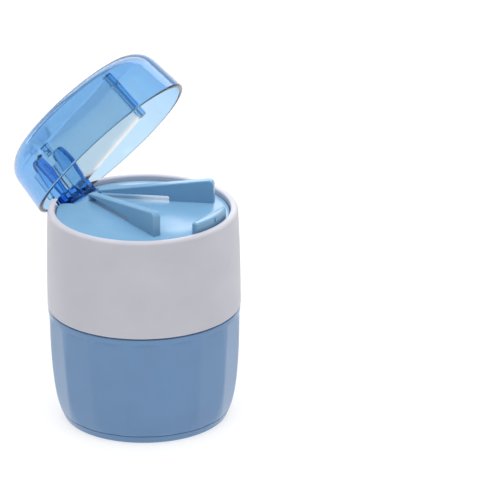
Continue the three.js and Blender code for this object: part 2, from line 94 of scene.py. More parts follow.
# Screw thread, collar, plunger and storage well
PITCH = 4.4
RIDGE_HEIGHT = 1.0
RIDGE_WIDTH = 2.3
MALE_START_Z = 38.2
MALE_TURNS = 2.0
FEMALE_TURNS = 1.0
SLEEVE_IN_R = 25.1
SLEEVE_OUT_R = press_high.x
SLEEVE_BOTTOM_Z = 36.3
WEB_BOTTOM_Z = 50.0
WEB_TOP_Z = 51.8
PLUNGER_R = 21.5
NOSE_R = 20.9                   # the plate snaps over the plunger's nose
NOSE_GROOVE_R = 20.35
PLATE_LIP_R = 20.7
WELL_R = 19.9
WELL_FLOOR_Z = press_low.z + 1.8
FLANGE_BOTTOM_Z = 56.2
FLANGE_TOP_Z = press_high.z

# Shell
SHELL_IN_R = 26.95
SHELL_BOTTOM_Z = shell_low.z
LIP_IN_R = 26.3
LIP_BOTTOM_Z = 58.6
RING_TOP_Z = shell_high.z

# Deck, with its holder's walls and its catch
DECK_TOP_Z = RING_TOP_Z - 0.4
DECK_R = 26.0
DECK_ROLL_START_R = 19.5
DECK_ROLL_R = 17.4
DECK_UNDER_Z = DECK_TOP_Z - 1.8
PLUG_R = 19.6
PLUG_IN_R = 18.2
PLUG_BOTTOM_Z = 56.6
WALL_ANGLE = math.radians(23.2)
WALL_MID_HALF_WIDTH = 7.7
WALL_THICK = 2.6
WALL_REAR_Y = 16.7
WALL_FRONT_Y = -15.9
WALL_REAR_HEIGHT = 2.3
WALL_FRONT_HEIGHT = 7.4
WALL_CORNER_R = 1.6
WALL_EDGE_R = 0.42
SLOT_HEIGHT = 1.5
SLOT_REAR_Y = 15.8
SLOT_FRONT_Y = -3.4
LANE_HALF_WIDTH = 0.9
CATCH_HALF_WIDTH = 8.1
CATCH_INNER_Y = -22.6
CATCH_OUTER_R = 25.7
CATCH_HEIGHT = 2.9

# Hinge
PIN_R = pin_high.z - hinge.z
PIN_HOLE_R = 1.18
BARREL_R = 3.1
ARM_INNER_X = 4.5
ARM_OUTER_X = 6.7
ARM_TOP = 14.3
WEB_X = 5.6
HINGE_SLOT_HALF_WIDTH = 7.15
HINGE_SLOT_FRONT_Y = 19.2
CHEEK_OUTER_X = 9.75
POCKET_BOTTOM_Z = 58.6
POCKET_FLOOR_Z = 59.8
WINDOW_FRONT_Y = 19
WINDOW_BOTTOM_Z = 60.9

# Lid
LID_RIM_Z = RING_TOP_Z + 0.2
LID_RIM_R = 28.34
LID_TAPER = math.radians(5.6)
LID_HEIGHT = 17.85
LID_CROWN_R = 7.4
LID_WALL = 1.4

# Blade, and the posts, lug, slot and rivets that hold it
BLADE_THICK = 0.5
BLADE_FRONT_Y = -16.9
BLADE_REAR_Y = 23.2
BLADE_EDGE_DROP = 0.45
BLADE_TOP = 15.9
BLADE_CORNER_R = 4.0
BEVEL_HEIGHT = 1.9
POST_HALF_WIDTH = 1.1
POST_DEPTH = 2.4
POST_FRONT_Y = -18.2
POST_REAR_Y = 24.9
LUG_FRONT_Y = 17.5
LUG_REAR_Y = 20.0
LUG_BOTTOM = 13.1
SLOT_HALF_THICK = 0.55
RIVET_R = 0.45
RIVET_HOLE_R = 0.6
FRONT_PIN = (-16.5, 12.0)       # y, and height above the rim
REAR_PIN = (18.75, 14.4)

ROUND = 192              # sides of a large turned piece

# Camera, with its distances in metres
CAMERA_AZIMUTH = math.radians(-56.5)
CAMERA_ELEVATION = math.radians(22.76)
CAMERA_ROLL = math.radians(-0.53)
CAMERA_DISTANCE = 2.0
CAMERA_LENS = 478
TARGET_Z = 0.0291
AIM_RIGHT = 0.0321       # how far past the target the camera aims
AIM_UP = 0.0213


# ---------- outlines ----------
def rounded(corners, closed=True):
    """Points of an outline given as (x, y, radius) corners, each rounded to its radius."""
    points = []
    count = len(corners)
    for i, (x, y, radius) in enumerate(corners):
        corner = Vector((x, y))
        at_end = not closed and i in (0, count - 1)
        if radius == 0 or at_end:
            points.append(corner)
            continue
        before = Vector(corners[i - 1][:2]) - corner
        after = Vector(corners[(i + 1) % count][:2]) - corner
        half = before.angle(after) / 2
        if half > math.pi / 2 - 0.01:
            points.append(corner)
            continue
        back = min(radius / math.tan(half), before.length * 0.49, after.length * 0.49)
        radius = back * math.tan(half)
        inward = (before.normalized() + after.normalized()).normalized()
        centre = corner + inward * radius / math.sin(half)
        start = corner + before.normalized() * back - centre
        turn = -start.angle_signed(corner + after.normalized() * back - centre)
        steps = max(3, round(abs(turn) * math.sqrt(radius) * 5))
        for k in range(steps + 1):
            points.append(centre + Matrix.Rotation(turn * k / steps, 2) @ start)
    return points


def bezier_weights(t):
    """How much each of a cubic curve's four points counts at t, from 0 to 1 along it."""
    s = 1 - t
    return s ** 3, 3 * s * s * t, 3 * s * t * t, t ** 3


def bezier(p0, p1, p2, p3, steps):
    """Points of a cubic curve, both ends included."""
    points = []
    for i in range(steps + 1):
        weights = bezier_weights(i / steps)
        weighted = (Vector(p) * w for p, w in zip((p0, p1, p2, p3), weights))
        points.append(sum(weighted, Vector((0, 0))))
    return points


def arc(centre, radius, start_degrees, end_degrees, steps):
    """Points of a circular arc, both ends included."""
    points = []
    for i in range(steps + 1):
        angle = math.radians(start_degrees + (end_degrees - start_degrees) * i / steps)
        points.append(Vector(centre) + radius * Vector((math.cos(angle), math.sin(angle))))
    return points


def plain(points):
    """Curve points as corners that stay as they are."""
    return [(p[0], p[1], 0) for p in points]


def inset(points, distance):
    """A closed counter-clockwise outline moved inward by a distance."""
    moved = []
    count = len(points)
    for i, point in enumerate(points):
        before = (point - points[i - 1]).normalized()
        after = (points[(i + 1) % count] - point).normalized()
        normal = Vector((-before.y - after.y, before.x + after.x))
        if normal.length < 1e-6:
            moved.append(point)
            continue
        normal.normalize()
        widen = max(0.35, normal.dot(Vector((-before.y, before.x))))
        moved.append(point + normal * distance / widen)
    return moved


# ---------- meshes ----------
def mesh_object(name, vertices, faces, matrix=None):
    """A mesh object in metres from vertices in millimetres."""
    mesh = bpy.data.meshes.new(name)
    mesh.from_pydata([Vector(v) * MM for v in vertices], [], faces)
    if matrix is not None:
        scaled = matrix.copy()
        scaled.translation = matrix.translation * MM
        mesh.transform(scaled)
        if scaled.determinant() < 0:
            mesh.flip_normals()
    mesh.update()
    made = bpy.data.objects.new(name, mesh)
    bpy.context.scene.collection.objects.link(made)
    return made


def turned(name, outline, sides=ROUND, reshape=None, matrix=None):
    """A (radius, height) outline turned round Z, counter-clockwise with the radius to the right.

    It closes on itself, or starts and ends on the axis. reshape(radius, height, angle) may
    change a radius.
    """
    vertices = []
    rings = []
    for radius, height in outline:
        if radius < 1e-6:
            rings.append([len(vertices)] * sides)
            vertices.append((0, 0, height))
            continue
        ring = []
        for i in range(sides):
            angle = 2 * math.pi * i / sides
            r = reshape(radius, height, angle) if reshape else radius
            ring.append(len(vertices))
            vertices.append((r * math.cos(angle), r * math.sin(angle), height))
        rings.append(ring)
    faces = []
    on_axis = outline[0][0] < 1e-6
    last = len(rings) - 1 if on_axis else len(rings)
    for k in range(last):
        low, high = rings[k], rings[(k + 1) % len(rings)]
        for i in range(sides):
            j = (i + 1) % sides
            face = [low[i], low[j], high[j], high[i]]
            face = [v for n, v in enumerate(face) if v != face[n - 1]]
            faces.append(face)
    return mesh_object(name, vertices, faces, matrix)


def soft_prism(name, outline, low, high, edge, matrix=None, steps=4):
    """A counter-clockwise outline extruded from low to high along Z, with rounded edges."""
    lower = []
    upper = []
    for k in range(steps + 1):
        angle = math.pi / 2 * k / steps
        points = inset(outline, edge * (1 - math.sin(angle)))
        rise = edge * (1 - math.cos(angle))
        lower.append((points, low + rise))
        upper.append((points, high - rise))
    layers = lower + upper[::-1]
    count = len(outline)
    vertices = [(p.x, p.y, z) for points, z in layers for p in points]
    faces = [list(range(count - 1, -1, -1))]
    for k in range(len(layers) - 1):
        for i in range(count):
            j = (i + 1) % count
            faces.append([k * count + i, k * count + j, (k + 1) * count + j, (k + 1) * count + i])
    faces.append([(len(layers) - 1) * count + i for i in range(count)])
    return mesh_object(name, vertices, faces, matrix)


def soft_box(name, x0, x1, y0, y1, z0, z1, edge=0.2, corner=None):
    """A block with rounded edges."""
    r = edge if corner is None else corner
    outline = rounded([(x0, y0, r), (x1, y0, r), (x1, y1, r), (x0, y1, r)])
    return soft_prism(name, outline, z0, z1, edge, steps=3)


# A side view drawn as (y, z) and extruded along X, and a front view drawn as (x, z) and
# extruded along Y
ACROSS = Matrix(((0, 0, 1, 0), (1, 0, 0, 0), (0, 1, 0, 0), (0, 0, 0, 1)))
LENGTHWISE = Matrix(((1, 0, 0, 0), (0, 0, -1, 0), (0, 1, 0, 0), (0, 0, 0, 1)))


def rod(name, radius, half_length, y, z, edge=0.15, sides=48):
    """A round bar along X."""
    outline = [
        (0, -half_length, 0),
        (radius, -half_length, edge),
        (radius, half_length, edge),
        (0, half_length, 0),
    ]
    place = Matrix.Translation((0, y, z)) @ Matrix.Rotation(math.pi / 2, 4, "Y")
    return turned(name, rounded(outline, closed=False), sides, matrix=place)


def combined(target, others, operation):
    """The target after a boolean with each of the others, which are used up."""
    for other in others:
        change = target.modifiers.new("cut", "BOOLEAN")
        change.operation = operation
        change.solver = "MANIFOLD"
        change.object = other
    graph = bpy.context.evaluated_depsgraph_get()
    mesh = bpy.data.meshes.new_from_object(target.evaluated_get(graph))
    target.modifiers.clear()
    target.data = mesh
    for other in others:
        bpy.data.objects.remove(other)
    return target


def swung(piece):
    """A piece of the lid, modelled closed, turned open about the hinge."""
    scaled = swing.copy()
    scaled.translation = swing.translation * MM
    piece.data.transform(scaled)
    return piece


def screw_ridge(name, root_r, outward, start_z, turns):
    """A rounded right-hand screw ridge that runs out to nothing at both ends.

    outward is 1 for an outside thread, and -1 for an inside one.
    """
    steps = round(72 * turns)
    run_out = 0.14 / turns      # share of the length over which an end fades
    across = 8                  # faces over the ridge
    embed = 0.5                 # depth of the ridge's root in the wall
    vertices = []
    for i in range(steps + 1):
        along = i / steps
        ends = min(1.0, along / run_out, (1 - along) / run_out)
        ends = ends * ends * (3 - 2 * ends)
        crest = RIDGE_HEIGHT * (0.05 + 0.95 * ends)
        half_width = RIDGE_WIDTH / 2 * (0.55 + 0.45 * ends)
        angle = 2 * math.pi * turns * along
        middle = start_z + PITCH * turns * along
        section = [(-embed, -half_width)]
        for k in range(across + 1):
            t = -1 + 2 * k / across
            section.append((crest * (1 - abs(t) ** 2.6), half_width * t))
        section.append((-embed, half_width))
        for radial, axial in section:
            r = root_r + outward * radial
            vertices.append((r * math.cos(angle), r * math.sin(angle), middle + axial))
    count = across + 3
    faces = [list(range(count))]
    for i in range(steps):
        for k in range(count):
            j = (k + 1) % count
            faces.append([i * count + j, i * count + k, (i + 1) * count + k, (i + 1) * count + j])
    faces.append([steps * count + k for k in range(count - 1, -1, -1)])
    ridge = mesh_object(name, vertices, faces)
    if outward > 0:
        ridge.data.flip_normals()
    return ridge


def placed(piece, body, node, surface, sharp_degrees=32):
    """Gives a piece its material and smooth shading, and joins it to its body."""
    piece.data.materials.clear()
    piece.data.materials.append(surface)
    piece.data.shade_smooth()
    piece.data.set_sharp_from_angle(angle=math.radians(sharp_degrees))
    normals = piece.modifiers.new("normals", "WEIGHTED_NORMAL")
    normals.keep_sharp = True
    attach(piece, body)
    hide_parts(node)
    return piece


# ---------- materials ----------
def new_material(name):
    """A material with its nodes, links and shader."""
    made = bpy.data.materials.new(name)
    made.use_nodes = True
    nodes = made.node_tree.nodes
    return made, nodes, made.node_tree.links, nodes["Principled BSDF"]


def noise(nodes, links, coordinates, scale, detail, stretch=None):
    """A noise texture in object space. scale is in bumps a metre."""
    source = coordinates.outputs["Object"]
    if stretch is not None:
        mapping = nodes.new("ShaderNodeMapping")
        mapping.inputs["Scale"].default_value = stretch
        links.new(source, mapping.inputs["Vector"])
        source = mapping.outputs["Vector"]
    texture = nodes.new("ShaderNodeTexNoise")
    texture.inputs["Scale"].default_value = scale
    texture.inputs["Detail"].default_value = detail
    links.new(source, texture.inputs["Vector"])
    return texture.outputs["Fac"]


def remapped(nodes, links, value, low, high):
    """A 0 to 1 value spread over low to high."""
    spread = nodes.new("ShaderNodeMapRange")
    spread.inputs["From Min"].default_value = 0.3
    spread.inputs["From Max"].default_value = 0.7
    spread.inputs["To Min"].default_value = low
    spread.inputs["To Max"].default_value = high
    links.new(value, spread.inputs["Value"])
    return spread.outputs["Result"]


def bumped(nodes, links, height, depth_mm, before=None):
    """A bump of a depth in millimetres, on top of another bump where one is given."""
    bump = nodes.new("ShaderNodeBump")
    bump.inputs["Distance"].default_value = depth_mm * MM
    links.new(height, bump.inputs["Height"])
    if before is not None:
        links.new(before, bump.inputs["Normal"])
    return bump.outputs["Normal"]


def varied_colour(nodes, links, value, colour, share):
    """A colour that drifts a little lighter and darker with a value."""
    ramp = nodes.new("ShaderNodeValToRGB")
    ramp.color_ramp.elements[0].position = 0.3
    ramp.color_ramp.elements[1].position = 0.7
    ramp.color_ramp.elements[0].color = [c * (1 - share) for c in colour] + [1]
    ramp.color_ramp.elements[1].color = [min(1, c * (1 + share)) for c in colour] + [1]
    links.new(value, ramp.inputs["Fac"])
    return ramp.outputs["Color"]


def moulded_plastic(name, colour, roughness, grain_mm):
    """Moulded plastic: faint flow clouds in the colour, a fine grain and shallow sink marks."""
    made, nodes, links, shader = new_material(name)
    where = nodes.new("ShaderNodeTexCoord")
    clouds = noise(nodes, links, where, 70, 3)
    grain = noise(nodes, links, where, 1500, 1)
    scuffs = noise(nodes, links, where, 160, 2)
    links.new(varied_colour(nodes, links, clouds, colour, 0.035), shader.inputs["Base Color"])
    polish = remapped(nodes, links, scuffs, roughness * 0.92, roughness * 1.08)
    links.new(polish, shader.inputs["Roughness"])
    waves = bumped(nodes, links, noise(nodes, links, where, 150, 1), 0.02)
    links.new(bumped(nodes, links, grain, grain_mm, waves), shader.inputs["Normal"])
    shader.inputs["IOR"].default_value = 1.5
    return made


def clear_plastic(name, tint, density):
    """Clear moulded plastic that is tinted in its depth, so that its edges look darkest."""
    made, nodes, links, shader = new_material(name)
    where = nodes.new("ShaderNodeTexCoord")
    shader.inputs["Base Color"].default_value = (1, 1, 1, 1)
    shader.inputs["Transmission Weight"].default_value = 1.0
    shader.inputs["IOR"].default_value = 1.49
    shader.inputs["Specular Tint"].default_value = (0.35, 0.6, 1.0, 1)
    scuffs = noise(nodes, links, where, 300, 5)
    links.new(remapped(nodes, links, scuffs, 0.015, 0.045), shader.inputs["Roughness"])
    waves = noise(nodes, links, where, 140, 1)
    links.new(bumped(nodes, links, waves, 0.02), shader.inputs["Normal"])
    depth = nodes.new("ShaderNodeVolumeAbsorption")
    depth.inputs["Color"].default_value = (*tint, 1)
    depth.inputs["Density"].default_value = density
    links.new(depth.outputs["Volume"], nodes["Material Output"].inputs["Volume"])
    return made


def rolled_steel(name, colour, roughness):
    """Cold-rolled steel, with fine lines along its length."""
    made, nodes, links, shader = new_material(name)
    where = nodes.new("ShaderNodeTexCoord")
    shader.inputs["Metallic"].default_value = 1.0
    lines = noise(nodes, links, where, 5200, 3, stretch=(1, 0.02, 1))
    clouds = noise(nodes, links, where, 90, 3)
    links.new(varied_colour(nodes, links, clouds, colour, 0.03), shader.inputs["Base Color"])
    polish = remapped(nodes, links, lines, roughness * 0.8, roughness * 1.3)
    links.new(polish, shader.inputs["Roughness"])
    links.new(bumped(nodes, links, lines, 0.003), shader.inputs["Normal"])
    return made


def turned_steel(name, colour, roughness):
    """Stainless steel with the rings that a lathe tool leaves round the Z axis."""
    made, nodes, links, shader = new_material(name)
    where = nodes.new("ShaderNodeTexCoord")
    flat = nodes.new("ShaderNodeVectorMath")
    flat.operation = "MULTIPLY"
    flat.inputs[1].default_value = (1, 1, 0)
    links.new(where.outputs["Object"], flat.inputs[0])
    radius = nodes.new("ShaderNodeVectorMath")
    radius.operation = "LENGTH"
    links.new(flat.outputs["Vector"], radius.inputs[0])
    rings = nodes.new("ShaderNodeTexNoise")
    rings.noise_dimensions = "1D"
    rings.inputs["Scale"].default_value = 6000
    rings.inputs["Detail"].default_value = 3
    links.new(radius.outputs["Value"], rings.inputs["W"])
    grooves = rings.outputs["Fac"]
    shader.inputs["Metallic"].default_value = 1.0
    links.new(varied_colour(nodes, links, grooves, colour, 0.05), shader.inputs["Base Color"])
    polish = remapped(nodes, links, grooves, roughness * 0.7, roughness * 1.3)
    links.new(polish, shader.inputs["Roughness"])
    links.new(bumped(nodes, links, grooves, 0.004), shader.inputs["Normal"])
    return made


CUP_BLUE = (0.14, 0.275, 0.49)
DECK_BLUE = (0.19, 0.385, 0.59)
SHELL_WHITE = (0.565, 0.562, 0.622)
LID_TINT = (0.10, 0.57, 0.90)
LID_DENSITY = 520

cup_plastic = moulded_plastic("cup_plastic", CUP_BLUE, 0.14, 0.0005)
deck_plastic = moulded_plastic("deck_plastic", DECK_BLUE, 0.24, 0.0006)
shell_plastic = moulded_plastic("shell_plastic", SHELL_WHITE, 0.45, 0.0015)
lid_plastic = clear_plastic("lid_plastic", LID_TINT, LID_DENSITY)
blade_metal = rolled_steel("blade_metal", (0.86, 0.84, 0.81), 0.1)
plate_metal = turned_steel("plate_metal", (0.72, 0.72, 0.73), 0.22)
pin_metal = rolled_steel("pin_metal", (0.78, 0.78, 0.79), 0.25)


# ---------- cup ----------
def facet_distance(z):
    """Distance from the axis to the cup's facets at a height, or None where they have run out."""
    if z > FACET_END_Z:
        return None
    if z > FACET_TOP_Z:
        share = (z - FACET_TOP_Z) / (FACET_END_Z - FACET_TOP_Z)
        return FACET_TOP_R + (CUP_R + 0.1 - FACET_TOP_R) * share
    # The facet's curve gives its height from t, so t is found by halving
    low, high = 0.0, 1.0
    points = ((25.5, FOOT_SEAM_Z), (27.9, 9), (28.5, 25), (FACET_TOP_R, FACET_TOP_Z))
    for halving in range(30):
        t = (low + high) / 2
        weights = bezier_weights(t)
        height = sum(p[1] * w for p, w in zip(points, weights))
        low, high = (t, high) if height < z else (low, t)
    return sum(p[0] * w for p, w in zip(points, weights))


def facetted(radius, distance, angle):
    """A radius of the cup's wall cut back to the nearest facet, with a soft ridge between facets."""
    step = 2 * math.pi / FACETS
    off_centre = angle % step - step / 2
    flat = distance / math.cos(off_centre)
    return (radius + flat - math.hypot(radius - flat, FACET_SOFTNESS)) / 2


def make_cup():
    bottom = FOOT_SEAM_Z + 0.12
    wall_top = CUP_TOP_Z - 0.35
    outside = bezier((25.85, bottom + 0.3), (28.4, 10), (28.95, 22), (CUP_R, wall_top), 40)
    # Close rings where the facets run out, which take the place of the curve's points there
    lean = 0.012
    heights = [33.1 + 0.06 * i for i in range(22)]
    rings = [Vector((CUP_R - lean * (wall_top - z), z)) for z in heights]
    below = [p for p in outside if p.y < heights[0] - 0.2]
    above = [p for p in outside if p.y > heights[-1] + 0.2]
    outer = below + rings + above
    under_shoulder = CUP_TOP_Z - 1.8
    floor_under = BORE_FLOOR_Z - BORE_FLOOR_THICK
    corners = [
        (0, floor_under, 0),
        (NECK_R, floor_under, 0.5),
        (NECK_R, under_shoulder, 0.6),
        (CUP_R - 1.55, under_shoulder, 0.5),
        (CUP_R - 2.15, 20, 0),
        (NECK_R + 1.6, 8, 0),
        (NECK_R + 0.35, bottom, 0.1),
        (25.6, bottom, 0.12),
    ]
    neck_and_bore = [
        (CUP_R - 0.08, CUP_TOP_Z - 0.16, 0),
        (CUP_R - 0.35, CUP_TOP_Z, 0.1),
        (NECK_R, CUP_TOP_Z, 0.35),
        (NECK_R, NECK_TOP_Z, 0.6),
        (BORE_R, NECK_TOP_Z, 0.5),
        (BORE_R, BORE_FLOOR_Z, 0.8),
        (0, BORE_FLOOR_Z, 0),
    ]
    outline = rounded(corners + plain(outer) + neck_and_bore, closed=False)

    def reshape(radius, z, angle):
        distance = facet_distance(z)
        on_wall = distance is not None and z > bottom + 0.2 and radius > distance - 0.35
        return facetted(radius, distance, angle) if on_wall else radius

    body = turned("cup", outline, sides=CUP_SIDES, reshape=reshape)
    thread = screw_ridge("cup_thread", NECK_R, 1, MALE_START_Z, MALE_TURNS)
    return combined(body, [thread], "UNION")


def make_foot():
    """A cap under the cup, with a plug that fills the hollow below the bore's floor."""
    plug_top = BORE_FLOOR_Z - BORE_FLOOR_THICK - GAP
    corners = [
        (0, 0, 0),
        (24.6, 0, 1.3),
        (25.62, FOOT_SEAM_Z, 0.16),
        (BORE_R, FOOT_SEAM_Z, 0.2),
        (BORE_R, plug_top, 0.3),
        (0, plug_top, 0),
    ]
    return turned("foot", rounded(corners, closed=False), sides=CUP_SIDES)


def make_anvil():
    low = anvil_low.z
    high = anvil_high.z
    radius = anvil_high.x
    corners = [(0, low, 0), (radius, low, 0.2), (radius, high, 0.2), (0, high, 0)]
    return turned("anvil", rounded(corners, closed=False))


def make_plate():
    """A shallow steel pan with an inward lip that snaps over the plunger's nose."""
    low = plate_low.z
    rim = plate_high.z
    radius = plate_high.x
    corners = [
        (0, low, 0),
        (radius, low, 0.45),
        (radius, rim, 0.15),
        (PLATE_LIP_R, rim, 0.12),
        (PLATE_LIP_R, rim - 0.5, 0.12),
        (radius - 0.5, rim - 0.5, 0.1),
        (radius - 0.5, low + 1.0, 0.3),
        (0, low + 1.0, 0),
    ]
    return turned("press_disc", rounded(corners, closed=False))


# ---------- upper unit ----------
def make_press():
    """The threaded collar, the plunger and the storage well, in one moulding."""
    low = press_low.z
    corners = [
        (0, low, 0),
        (NOSE_R, low, 0.3),
        (NOSE_R, low + 1.0, 0.2),
        (NOSE_GROOVE_R, low + 1.15, 0.1),
        (NOSE_GROOVE_R, low + 2.2, 0.1),
        (PLUNGER_R, low + 2.2, 0.3),
        (PLUNGER_R, WEB_BOTTOM_Z, 0.5),
        (SLEEVE_IN_R, WEB_BOTTOM_Z, 0.6),
        (SLEEVE_IN_R, SLEEVE_BOTTOM_Z, 0.4),
        (SLEEVE_OUT_R, SLEEVE_BOTTOM_Z, 0.4),
        (SLEEVE_OUT_R, WEB_TOP_Z, 0.5),
        (PLUNGER_R, WEB_TOP_Z, 0.5),
        (PLUNGER_R, FLANGE_BOTTOM_Z, 0.5),
        (SLEEVE_OUT_R, FLANGE_BOTTOM_Z, 0.4),
        (SLEEVE_OUT_R, FLANGE_TOP_Z, 0.4),
        (WELL_R, FLANGE_TOP_Z, 0.7),
        (WELL_R, WELL_FLOOR_Z, 1.6),
        (0, WELL_FLOOR_Z, 0),
    ]
    body = turned("press", rounded(corners, closed=False))
    thread = screw_ridge("press_thread", SLEEVE_IN_R, -1, MALE_START_Z + PITCH / 2, FEMALE_TURNS)
    return combined(body, [thread], "UNION")


def swing_relief():
    """The space that the lid's rim sweeps behind the hinge, with a little air."""
    half_width = 16.5
    air = 0.45
    rim_in = LID_RIM_R - LID_WALL
    rim_up = LID_RIM_Z - hinge.z
    outline = [Vector((0, -half_width))]
    steps = 24
    for i in range(steps + 1):
        x = half_width * (2 * i / steps - 1)
        behind = max(0.0, math.sqrt(rim_in ** 2 - x ** 2) - hinge.y)
        outline.append(Vector((math.hypot(behind, rim_up) - air, x)))
    outline.append(Vector((0, half_width)))
    place = Matrix.Translation(hinge) @ Matrix.Rotation(math.pi / 2, 4, "Y")
    barrel = turned("relief", outline, 96, matrix=place)
    above = soft_box("above", -20, 20, -10, 50, LID_RIM_Z - air, LID_RIM_Z + 40, edge=0.1)
    return combined(barrel, [swung(above)], "INTERSECT")


def make_shell():
    """The white outside of the upper unit, cut away at the back for the lid's rim and hinge."""
    side_low = (29.08, SHELL_BOTTOM_Z + 0.35)
    side_high = (28.55, RING_TOP_Z - 1.25)
    side = bezier(side_low, (29.14, 44), (28.95, 58), side_high, 24)
    crest = arc((27.33, RING_TOP_Z - 1.22), 1.22, 20, 90, 8)
    foot = arc((SHELL_IN_R + 0.25, SHELL_BOTTOM_Z + 0.25), 0.25, 180, 270, 4)
    lower_edge = arc((28.75, SHELL_BOTTOM_Z + 0.33), 0.33, -90, 0, 5)
    lip = rounded([
        (LIP_IN_R + 2, RING_TOP_Z, 0),
        (LIP_IN_R, RING_TOP_Z, 0.6),
        (LIP_IN_R, LIP_BOTTOM_Z, 0.2),
        (SHELL_IN_R, LIP_BOTTOM_Z, 0),
    ], closed=False)
    outline = [*foot, *lower_edge, *side[1:], *crest, *lip[1:]]
    body = turned("shell", outline)
    window_x = HINGE_SLOT_HALF_WIDTH + GAP
    window = soft_box(
        "window", -window_x, window_x, WINDOW_FRONT_Y, 32,
        WINDOW_BOTTOM_Z, RING_TOP_Z + 5, edge=0.4,
    )
    return combined(body, [swing_relief(), window], "DIFFERENCE")


# ---------- deck ----------
def holder_wall(side):
    """One wall of the V-shaped holder, drawn as its side view and given its thickness."""

    def along(y):
        return (WALL_REAR_Y - y) / math.cos(WALL_ANGLE)

    sunk = -0.9
    length = along(WALL_FRONT_Y)
    corners = [
        (0, sunk, 0),
        (along(SLOT_REAR_Y), sunk, 0),
        (along(SLOT_REAR_Y), SLOT_HEIGHT, 0.2),
        (along(SLOT_FRONT_Y), SLOT_HEIGHT, 0.5),
        (along(SLOT_FRONT_Y), sunk, 0),
        (length, sunk, 0),
        (length, WALL_FRONT_HEIGHT, WALL_CORNER_R),
        (0, WALL_REAR_HEIGHT, 0.5),
    ]
    sin, cos = math.sin(WALL_ANGLE), math.cos(WALL_ANGLE)
    start_x = WALL_MID_HALF_WIDTH - WALL_REAR_Y * math.tan(WALL_ANGLE)
    place = Matrix((
        (side * sin, 0, side * cos, side * start_x),
        (-cos, 0, sin, WALL_REAR_Y),
        (0, 1, 0, DECK_TOP_Z),
        (0, 0, 0, 1),
    ))
    return soft_prism("wall", rounded(corners), 0, WALL_THICK, WALL_EDGE_R, place)


def catch_block():
    """The block that the lid's rim snaps over: straight inside, curved outside like the deck."""
    reach = math.degrees(math.asin(CATCH_HALF_WIDTH / CATCH_OUTER_R))
    edge = arc((0, 0), CATCH_OUTER_R, -90 - reach, -90 + reach, 18)
    corners = [
        (*edge[0], 0.3),
        *plain(edge[1:-1]),
        (*edge[-1], 0.3),
        (CATCH_HALF_WIDTH, CATCH_INNER_Y, 0.5),
        (-CATCH_HALF_WIDTH, CATCH_INNER_Y, 0.5),
    ]
    top = DECK_TOP_Z + CATCH_HEIGHT
    block = soft_prism("catch", rounded(corners), DECK_TOP_Z - 1.5, top, 0.6)
    face_y = -CATCH_OUTER_R
    nick_z = DECK_TOP_Z + 0.7
    nick = soft_box("nick", -0.28, 0.28, face_y - 1, face_y + 0.7, nick_z, nick_z + 1.6, edge=0.12)
    return combined(block, [nick], "DIFFERENCE")


def make_deck():
    """The lift-off deck: its table and plug, the holder's walls, the catch and the hinge housing."""
    edge_degrees = math.degrees(math.acos((DECK_R - DECK_ROLL_START_R) / DECK_ROLL_R))
    roll_centre = (DECK_ROLL_START_R, DECK_TOP_Z - DECK_ROLL_R)
    roll = arc(roll_centre, DECK_ROLL_R, edge_degrees, 90, 14)
    skirt_in = DECK_R - 1.2
    skirt_bottom = FLANGE_TOP_Z + GAP
    wall_top = DECK_TOP_Z + WALL_FRONT_HEIGHT
    corners = [
        (0, DECK_UNDER_Z, 0),
        (PLUG_IN_R, DECK_UNDER_Z, 0.6),
        (PLUG_IN_R, PLUG_BOTTOM_Z, 0.3),
        (PLUG_R, PLUG_BOTTOM_Z, 0.5),
        (PLUG_R, DECK_UNDER_Z, 0.4),
        (skirt_in, DECK_UNDER_Z, 0.4),
        (skirt_in, skirt_bottom, 0.2),
        (DECK_R, skirt_bottom, 0.2),
        (*roll[0], 0.35),
        *plain(roll[1:]),
        (0, DECK_TOP_Z, 0),
    ]
    table = turned("deck", rounded(corners, closed=False))
    housing = soft_box(
        "housing", -CHEEK_OUTER_X, CHEEK_OUTER_X, HINGE_SLOT_FRONT_Y - 1.6, DECK_R + 1,
        POCKET_BOTTOM_Z, DECK_UNDER_Z + 0.5, edge=0.3,
    )
    ring = turned("ring", rounded([
        (0, POCKET_BOTTOM_Z - 1, 0),
        (DECK_R, POCKET_BOTTOM_Z - 1, 0),
        (DECK_R, DECK_TOP_Z - 1, 0),
        (0, DECK_TOP_Z - 1, 0),
    ], closed=False))
    housing = combined(housing, [ring], "INTERSECT")
    slot = soft_box(
        "slot", -HINGE_SLOT_HALF_WIDTH, HINGE_SLOT_HALF_WIDTH, HINGE_SLOT_FRONT_Y, DECK_R + 2,
        POCKET_FLOOR_Z, DECK_TOP_Z + 1, edge=0.15, corner=0.6,
    )
    hole = rod("hole", PIN_HOLE_R, CHEEK_OUTER_X + 1, hinge.y, hinge.z)
    # The blade comes down between the walls here
    lane = soft_box(
        "lane", -LANE_HALF_WIDTH, LANE_HALF_WIDTH, 0, WALL_REAR_Y + 3,
        DECK_TOP_Z, wall_top, edge=0.02,
    )
    walls = [holder_wall(1), holder_wall(-1)]
    combined(table, [housing, *walls, catch_block()], "UNION")
    return combined(table, [slot, hole, lane], "DIFFERENCE")


# ---------- lid, modelled closed and then swung open ----------
def lid_top_r(inward):
    """Radius at which the tapered wall would meet the lid's top, moved inward."""
    return LID_RIM_R - (LID_HEIGHT - inward) * math.tan(LID_TAPER) - inward


def lifted(corners):
    """Corners given as heights above the lid's rim, at their own heights."""
    return [(r, LID_RIM_Z + up, radius) for r, up, radius in corners]


